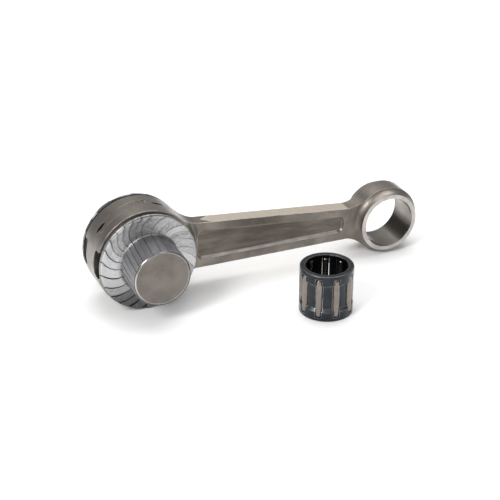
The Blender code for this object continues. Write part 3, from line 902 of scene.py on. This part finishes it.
def pin_profile(radius, half):
    """A pin with rounded ends and a faint turned ring in each end face."""
    ring_radius, ring_depth = 0.0094, 0.00006
    upper = [(0, half), (ring_radius - 0.0004, half), (ring_radius, half - ring_depth)]
    upper += [(ring_radius + 0.0002, half - ring_depth), (ring_radius + 0.0005, half)]
    upper += round_corner(radius, half, PIN_CHAMFER, 6)
    return mirrored_down(upper)


def ring_profile(inner, outer, low, high, chamfer):
    """A flat ring with all four corners broken."""
    return [
        (outer - chamfer, high), (outer, high - chamfer), (outer, low + chamfer),
        (outer - chamfer, low), (inner + chamfer, low), (inner, low + chamfer),
        (inner, high - chamfer), (inner + chamfer, high),
    ]


class ROD_KIT_OT_add_crank_pin(Operator):
    """Add the crank pin"""

    bl_idname = "rod_kit.add_crank_pin"
    bl_label = "Crank Pin"
    bl_options = {"REGISTER", "UNDO"}

    def execute(self, context):
        settings = context.scene.rod_kit
        finish = settings.finish
        place, _ = rod_frame(settings.rod)
        profile = pin_profile(PIN_RADIUS - HAIR / 2, PIN_LENGTH / 2)
        pin = new_object("crank_pin_ground", turned(profile, 160), place)
        ground = steel(
            "hardened_pin", place, finish.pin, 0.42, finish.wear_and_highlight,
            grain=2400.0, blotch=95.0, contrast=0.2, pitch=0.0003, bump=0.2,
        )
        # The chamfer is polished and made lighter as a painted highlight.
        chamfer_highlight = steel("pin_chamfer", place, finish.chamfer, 0.24, finish.wear_and_highlight, bump=0.1)
        for face in pin.data.polygons:
            off_axis = face.center.xy.length > PIN_RADIUS - PIN_CHAMFER
            at_end = abs(face.center.z) > PIN_LENGTH / 2 - PIN_CHAMFER
            face.material_index = int(off_axis and at_end)
        finish_piece(pin, [ground, chamfer_highlight], "crank_pin", "crank_pin")
        return {"FINISHED"}


class ROD_KIT_OT_add_thrust_washers(Operator):
    """Add the two thrust washers"""

    bl_idname = "rod_kit.add_thrust_washers"
    bl_label = "Thrust Washers"
    bl_options = {"REGISTER", "UNDO"}

    def execute(self, context):
        settings = context.scene.rod_kit
        place, _ = rod_frame(settings.rod)
        material = steel(
            "ground_washer", place, settings.finish.washer, 0.32, settings.finish.wear_and_highlight,
            grain=3000.0, blotch=220.0, contrast=0.18, pitch=0.00025, bump=0.2,
        )
        half = WASHER_THICKNESS / 2
        for name, side in (("front_thrust_washer", 1), ("rear_thrust_washer", -1)):
            middle = side * WASHER_HEIGHT
            profile = ring_profile(
                PIN_RADIUS + 0.0001, WASHER_RADIUS, middle - half, middle + half, 0.00015
            )
            washer = new_object(name + "_ground", turned(profile, 160), place)
            finish_piece(washer, [material], name, name)
        return {"FINISHED"}


DISC_HEIGHT, DISC_SAG = 0.0016, 0.00018
SLEEVE_STEPS, DISC_STEPS, RIM_STEPS = 15, 30, 7
# Parts of a pleat that get a point, and the front pleats' starts in degrees, clockwise from the top
PLEAT_SAMPLES = (0.0, 0.025, 0.06, 0.11, 0.19, 0.32, 0.46, 0.60, 0.74, 0.86, 0.94, 0.98)
FRONT_PLEATS = (
    0, 18, 32, 44, 55, 62, 68, 75, 83, 93, 105, 119, 134, 150, 166, 182, 201, 215, 230, 245, 262,
    279, 293, 305, 316, 327, 338, 349,
)


def crease_depth(part):
    """1 in the crease at a pleat's start and end, 0 on the pleat."""
    return max(0.0, 1 - min(part / 0.06, (1 - part) / 0.035))


def fold_shade(part):
    """The shade from a crease over the pleat beside it."""
    return max(0.0, 1 - part / 0.42)


def pleat_height(part):
    """Height along one pleat, from 0 to 1: it rises from one crease and drops into the next."""
    return 0.12 + 0.88 * part**1.25


def loose_look(_angle, rng):
    """(lightness, shade, crease) of a rear pleat, where light and dull pleats follow each other."""
    light = rng.choice((0.1, 0.3, 0.9, 1.0))
    return light, 0.7 * (1 - light), 1.0


def lit_front_look(angle, rng):
    """The same of a front pleat, with painted light: lighter to the left and to the right, painted
    shade below and over the top, and fainter creases to the right.

    Angles turn up from the way that the rod points.
    """
    # Painted light from the left, painted shade below and over the top, lighter to the right.
    left_light = 0.82 + 0.38 * math.cos(angle - math.radians(185))
    low_shade = max(0.0, math.cos(angle - math.radians(-98))) ** 2
    over = max(0.0, math.cos(angle - math.radians(112))) ** 2
    right = max(0.0, math.cos(angle - math.radians(8))) ** 2
    light = left_light + 0.35 * right - 1.0 * low_shade - 0.15 * over + rng.uniform(-0.2, 0.2)
    return min(1.0, max(0.0, light)), 0.06 + 0.62 * over + 0.90 * low_shade, 1 - 0.6 * right


def film_stations(film, sleeve_inner):
    """The film's skin from the sleeve's end to the back of the rim.

    Each station is (radius, height, outward direction, pleat height, swirl from 0 to 1).
    """
    radius = sleeve_inner + film.sleeve
    end, low = WRAP_LOW + WRAP_LENGTH, WRAP_LOW
    disc = low + DISC_HEIGHT - film.pleat
    rim_room = 0.0002
    rim_centre = (WRAP_RADIUS - rim_room - film.rim, disc - film.rim)
    stations = []
    for i in range(SLEEVE_STEPS):
        height = end + (disc + film.corner - end) * i / SLEEVE_STEPS
        stations.append((radius, height, (1, 0), film.sleeve_pleat, -0.5 + 0.5 * i / SLEEVE_STEPS))
    corner = (radius + film.corner, disc + film.corner)
    for point in arc(corner, film.corner, math.pi, 1.5 * math.pi, 5):
        outward = (Vector(corner) - point) / film.corner
        stations.append((point.x, point.y, tuple(outward), film.pleat / 2, 0.0))
    first, last = radius + film.corner, rim_centre[0]
    for i in range(1, DISC_STEPS):
        part = i / DISC_STEPS
        sag = DISC_SAG * math.sin(math.pi * part)
        pleat = film.pleat * (0.5 + 0.5 * part)
        stations.append((first + (last - first) * part, disc - sag, (0, 1), pleat, part**1.5))
    for point in arc(rim_centre, film.rim, math.pi / 2, math.radians(-20), RIM_STEPS):
        outward = (point - Vector(rim_centre)) / film.rim
        depth = min(film.pleat, 0.0003) * max(0.3, outward.y)
        stations.append((point.x, point.y, tuple(outward), depth, 1.0))
    return stations


def round_pleats(angles, swirl):
    """(number of the pleat, part of the way over it, angle) of each point round a ring of film."""
    for i, start in enumerate(angles):
        span = (angles[(i + 1) % len(angles)] - start) % -math.tau
        for part in PLEAT_SAMPLES:
            yield i, part, start + span * part + swirl


def skin_ring(shape, film, angles, looks, station, first, rim_shade):
    """One ring of the pleated skin, with Tone and Crease, which hold painted light and shade. The
    first is the sleeve's torn end.
    """
    tone, crease = shape.verts.layers.float["Tone"], shape.verts.layers.float["Crease"]
    radius, height, outward, depth, swirl = station
    ring = []
    for i, part, angle in round_pleats(angles, film.swirl * (1 - swirl)):
        size, (light, shade, line), bend, phase = looks[i]
        angle += 0.012 * bend * math.sin(2.2 * swirl + phase)
        groove = film.groove * line * crease_depth(part) * depth / film.pleat
        lift = depth * size * pleat_height(part) - groove
        spot = Vector((math.cos(angle) * radius, math.sin(angle) * radius, height))
        lift += film.crinkle * noise.noise(spot * 900) * min(1, depth / film.sleeve_pleat)
        r, z = radius + outward[0] * lift, height + outward[1] * lift
        if first:
            z += 0.00012 * noise.noise(spot * 700)
        vert = shape.verts.new((math.cos(angle) * r, math.sin(angle) * r, z))
        # Painted shade: dark in each crease, spreading over the pleat beside it, and darker round
        # the rim.
        reach = shade * fold_shade(part) * (0.45 + 0.55 * max(0.0, swirl))
        vert[tone] = light
        vert[crease] = max(line * crease_depth(part), reach, rim_shade)
        ring.append(vert)
    return ring


def film_shape(film, pleats, look_of, rng):
    """A closed film shell: the pleated skin outside, and smooth faces against washer and pin."""
    sleeve_inner = PIN_RADIUS + 0.00006
    skin = film_stations(film, sleeve_inner)
    end, low = WRAP_LOW + WRAP_LENGTH, WRAP_LOW + HAIR / 2
    back = [(WRAP_RADIUS - 0.0006, low, 1.0), (sleeve_inner, low, -0.5), (sleeve_inner, end, -0.5)]
    angles = [math.radians(90 - turn) for turn in pleats]
    looks = [
        (rng.uniform(0.55, 1), look_of(angle, rng), rng.uniform(-1, 1), rng.uniform(0, 6))
        for angle in angles
    ]
    shape = bmesh.new()
    shape.verts.layers.float.new("Tone")
    shape.verts.layers.float.new("Crease")
    rings = []
    for number, station in enumerate(skin):
        # The film's turn over the washer's rim is darkened as painted shade.
        rim_shade = 0.45 if number > len(skin) - RIM_STEPS else 0.0
        rings.append(skin_ring(shape, film, angles, looks, station, number == 0, rim_shade))
    for radius, height, swirl in back:
        points = round_pleats(angles, film.swirl * (1 - swirl))
        rings.append([
            shape.verts.new((math.cos(angle) * radius, math.sin(angle) * radius, height))
            for _, _, angle in points
        ])
    for number, ring in enumerate(rings):
        other = rings[(number + 1) % len(rings)]
        for i in range(len(ring)):
            shape.faces.new((ring[i - 1], ring[i], other[i], other[i - 1]))
    bmesh.ops.recalc_face_normals(shape, faces=shape.faces)
    return shape


class ROD_KIT_OT_add_pin_wraps(Operator):
    """Add the pleated film drawn over each washer and along the pin"""

    bl_idname = "rod_kit.add_pin_wraps"
    bl_label = "Pin Wraps"
    bl_options = {"REGISTER", "UNDO"}

    def execute(self, context):
        settings = context.scene.rod_kit
        film, finish = settings.film, settings.finish
        place, _ = rod_frame(settings.rod)
        rng = random.Random(11)
        rear_pleats = [i * 360 / 26 + rng.uniform(-3.5, 3.5) for i in range(26)]
        material = silver_film(
            "pleated_film", place, finish.film, finish.sleeve, PIN_RADIUS + film.sleeve, film.corner
        )
        turn_round = Matrix.Rotation(math.pi, 4, "X")
        for name, pleats, look_of, turn in (
            ("front_pin_wrap", FRONT_PLEATS, lit_front_look, Matrix.Identity(4)),
            ("rear_pin_wrap", rear_pleats, loose_look, turn_round),
        ):
            wrap = new_object(name + "_film", film_shape(film, pleats, look_of, rng), place @ turn)
            finish_piece(wrap, [material], "crank_pin", name, math.radians(50))
        return {"FINISHED"}


# Bearings


def roller_shape(radius, roller_length, crown):
    """A roller with a flat end and a round into its side."""
    half = roller_length / 2
    upper = [(0, half)] + round_corner(radius, half, crown, 6)
    return turned(mirrored_down(upper), 40)


def add_rollers(nodes, shape_sizes, lie, material):
    """One roller where each of the nodes lies. Each is its own body, named like its node."""
    for name in nodes:
        place = Matrix.Translation(node_middle(name)) @ lie
        roller = new_object(name + "_ground", roller_shape(*shape_sizes), place)
        finish_piece(roller, [material], name, name)


def windows(nodes, axis_place, half_width, half_length, inner, outer, mouth):
    """Cutters for a cage's windows. The walls close over each roller down to the mouth's width."""
    shapes = []
    lean = math.acos(mouth / half_width)
    for name in nodes:
        spot = axis_place.inverted() @ node_middle(name)
        orbit, angle = spot.xy.length, math.atan2(spot.y, spot.x)
        closing = arc((orbit, 0), half_width, math.pi / 2, math.pi / 2 - lean, 8)
        half = [Vector((inner, half_width)), *closing, Vector((outer, mouth))]
        outline = mirrored_across(half)
        shape = loft([(outline, spot.z - half_length), (outline, spot.z + half_length)])
        shapes.append(moved(shape, Matrix.Rotation(angle, 4, "Z")))
    return joined(shapes)


class ROD_KIT_OT_add_big_end_bearing(Operator):
    """Add the caged rollers round the crank pin"""

    bl_idname = "rod_kit.add_big_end_bearing"
    bl_label = "Big End Bearing"
    bl_options = {"REGISTER", "UNDO"}

    def execute(self, context):
        settings = context.scene.rod_kit
        sizes, finish = settings.bearing, settings.finish
        place, _ = rod_frame(settings.rod)
        inner, half = PIN_RADIUS + 0.00035, BIG_CAGE_LENGTH / 2
        profile = ring_profile(inner, inner + sizes.big_wall, -half, half, 0.0002)
        cage = new_object("big_end_cage_turned", turned(profile, 160), place)
        cutter = windows(
            ROLLERS, place, ROLLER_RADIUS + sizes.window_gap, ROLLER_LENGTH / 2 + sizes.window_gap,
            inner - OVERSHOOT, inner + sizes.big_wall + OVERSHOOT, ROLLER_RADIUS,
        )
        combine(cage, "DIFFERENCE", [cutter])
        cage_steel = steel(
            "pressed_cage", place, finish.big_cage, 0.36, finish.wear_and_highlight, contrast=0.25
        )
        finish_piece(cage, [cage_steel], "big_end_cage", "big_end_cage")
        roller_steel = steel(
            "polished_roller", place, finish.roller, 0.2, finish.wear_and_highlight,
            grain=3500.0, blotch=300.0, contrast=0.12, bump=0.08,
        )
        lie = place.to_3x3().to_4x4()
        shape_sizes = (ROLLER_RADIUS, ROLLER_LENGTH, sizes.roller_crown)
        add_rollers(ROLLERS, shape_sizes, lie, roller_steel)
        return {"FINISHED"}


def small_cage_profile(sizes, inner, rim):
    """Thick ends, a slope to a drawn-in waist, and rounded outer corners."""
    half, chamfer = SMALL_CAGE_LENGTH / 2, 0.0005
    waist, shoulder = rim - sizes.waist, SMALL_CAGE_LENGTH / 2 - sizes.shoulder
    upper = round_corner(rim, half, chamfer, 5)
    upper += [(rim, shoulder + 0.0002), (rim - 0.0001, shoulder)]
    upper += [(waist + 0.0002, shoulder - sizes.slope), (waist, shoulder - sizes.slope - 0.0003)]
    lip = 0.0002
    bore = [(inner + lip, -half), (inner, -half + lip), (inner, half - lip), (inner + lip, half)]
    return mirrored_down(upper) + bore


class ROD_KIT_OT_add_small_end_bearing(Operator):
    """Add the caged needles of the small end, standing beside the beam"""

    bl_idname = "rod_kit.add_small_end_bearing"
    bl_label = "Small End Bearing"
    bl_options = {"REGISTER", "UNDO"}

    def execute(self, context):
        settings = context.scene.rod_kit
        sizes, finish = settings.bearing, settings.finish
        place = Matrix.Translation(BEARING_CENTRE)
        rim = NEEDLE_ORBIT + NEEDLE_RADIUS - sizes.rim_gap
        inner = NEEDLE_ORBIT - NEEDLE_RADIUS + sizes.cage_gap
        profile = small_cage_profile(sizes, inner, rim)
        cage = new_object("small_end_cage_blued", turned(profile, 180), place)
        cutter = windows(
            NEEDLES, place, NEEDLE_RADIUS + sizes.window_gap, NEEDLE_LENGTH / 2 + sizes.window_gap,
            inner - OVERSHOOT, rim + OVERSHOOT, sizes.mouth,
        )
        combine(cage, "DIFFERENCE", [cutter])
        blued = steel(
            "blued_cage", place, finish.blued, 0.34, finish.wear_and_highlight * 0.8,
            grain=2800.0, blotch=260.0, bump=0.2, oil=0.4,
        )
        edge_highlight = steel(
            "worn_ledge", place, finish.ledge, 0.3, finish.wear_and_highlight,
            grain=2800.0, blotch=500.0, contrast=0.5, bump=0.2,
        )
        # The cage's sloped outer faces take the lighter colour as a painted highlight.
        for face in cage.data.polygons:
            spot, normal = face.center, face.normal
            outside = normal.x * spot.x + normal.y * spot.y > 0
            face.material_index = int(outside and 0.3 < abs(normal.z) < 0.97)
        finish_piece(cage, [blued, edge_highlight], "small_end_cage", "small_end_cage")
        needle_steel = steel(
            "ground_needle", place, finish.needle, 0.3, finish.wear_and_highlight,
            grain=3200.0, blotch=260.0, contrast=0.14, bump=0.1,
        )
        shape_sizes = (NEEDLE_RADIUS - HAIR / 2, NEEDLE_LENGTH, sizes.crown)
        add_rollers(NEEDLES, shape_sizes, Matrix.Identity(4), needle_steel)
        return {"FINISHED"}


# Stage


LIGHTS = (
    ("overhead", (0.12, 0.22, 0.72), (0.8, 0.6), 4.3),
    ("left_key", (-0.55, -0.25, 0.50), (0.26, 0.26), 3.4),
)


def add_area_light(name, place, aim, size, power):
    light = bpy.data.lights.new(name, "AREA")
    light.shape = "RECTANGLE"
    light.size, light.size_y = size
    light.energy = power
    lamp = bpy.data.objects.new(name, light)
    lamp.location = place
    lamp.rotation_euler = (Vector(aim) - Vector(place)).to_track_quat("-Z", "Y").to_euler()
    bpy.context.scene.collection.objects.link(lamp)


def studio_world():
    world = bpy.data.worlds.new("studio")
    world.use_nodes = True
    tree = Tree(world.node_tree)
    way = tree.add("ShaderNodeTexCoord").outputs["Generated"]
    axes = tree.add("ShaderNodeSeparateXYZ", {0: way}).outputs
    walls = tree.between(axes["Y"], -0.5, 0.4, 0.42, 0.5)
    roof = tree.between(axes["Z"], 0.30, 0.75, 0.75, 1.25)
    background = world.node_tree.nodes["Background"]
    background.inputs["Color"].default_value = (1, 1, 1, 1)
    tree.feed(background.inputs["Strength"], tree.math("MULTIPLY", walls, roof))
    return world


def add_camera(stage, target):
    """A camera round the target. The roll turns it about its own view axis."""
    side, up = math.sin(stage.azimuth), math.cos(stage.azimuth)
    level, rise = math.cos(stage.elevation), math.sin(stage.elevation)
    back = Vector((-side * level, -up * level, rise))
    right = Vector((up, -side, 0))
    over = back.cross(right)
    turned_right = right * math.cos(stage.roll) + over * math.sin(stage.roll)
    turned_over = over * math.cos(stage.roll) - right * math.sin(stage.roll)
    camera = bpy.data.cameras.new("camera")
    camera.lens = stage.lens
    camera.sensor_width = 36
    camera.clip_start = 0.01
    holder = bpy.data.objects.new("camera", camera)
    turn = Matrix((turned_right, turned_over, back)).transposed().to_4x4()
    holder.matrix_world = Matrix.Translation(target + back * stage.distance) @ turn
    bpy.context.scene.collection.objects.link(holder)
    bpy.context.scene.camera = holder


class ROD_KIT_OT_add_stage(Operator):
    """Add the pale floor, the soft lights and the camera"""

    bl_idname = "rod_kit.add_stage"
    bl_label = "Stage"
    bl_options = {"REGISTER", "UNDO"}

    def execute(self, context):
        stage = context.scene.rod_kit.stage
        aim_along, aim_height = 0.04653, 0.01038
        add_camera(stage, BIG_CENTRE + Vector((aim_along, 0, aim_height - BIG_CENTRE.z)))
        sheet = bmesh.new()
        bmesh.ops.create_grid(sheet, x_segments=8, y_segments=8, size=stage.floor / 2)
        floor = new_object("floor", sheet)
        floor.data.materials.append(pale_paper("pale_paper", stage.floor_colour))
        context.scene.world = studio_world()
        centre = Vector((BIG_CENTRE.x + 0.05, 0, 0.01))
        for name, place, size, power in LIGHTS:
            add_area_light(name, centre + Vector(place), centre, size, power)
        context.scene.view_settings.view_transform = "Standard"
        return {"FINISHED"}


# Add-on


OPERATORS = (
    ROD_KIT_OT_add_stage,
    ROD_KIT_OT_add_forging,
    ROD_KIT_OT_add_crank_pin,
    ROD_KIT_OT_add_thrust_washers,
    ROD_KIT_OT_add_pin_wraps,
    ROD_KIT_OT_add_big_end_bearing,
    ROD_KIT_OT_add_small_end_bearing,
)
SIZE_GROUPS = ("rod", "film", "bearing", "finish", "stage")


class ROD_KIT_PT_sidebar(Panel):
    bl_idname = "ROD_KIT_PT_sidebar"
    bl_label = "Connecting Rod Kit"
    bl_space_type = "VIEW_3D"
    bl_region_type = "UI"
    bl_category = "Rod Kit"

    def draw(self, context):
        layout = self.layout
        for operator in OPERATORS:
            layout.operator(operator.bl_idname)
        for group in SIZE_GROUPS:
            values = getattr(context.scene.rod_kit, group)
            column = layout.box().column(heading=group.title())
            for name in values.__annotations__:
                column.prop(values, name)


CLASSES = (
    RodSizes, FilmSizes, BearingSizes, Finishes, StageSizes, RodKitSettings, *OPERATORS,
    ROD_KIT_PT_sidebar,
)


def register():
    for item in CLASSES:
        bpy.utils.register_class(item)
    bpy.types.Scene.rod_kit = PointerProperty(
        type=RodKitSettings, name="Rod Kit", description="Settings of the connecting rod kit"
    )


def unregister():
    del bpy.types.Scene.rod_kit
    for item in reversed(CLASSES):
        bpy.utils.unregister_class(item)


def main():
    register()
    for operator in OPERATORS:
        group, name = operator.bl_idname.split(".")
        getattr(getattr(bpy.ops, group), name)()


if __name__ == "__main__":
    main()
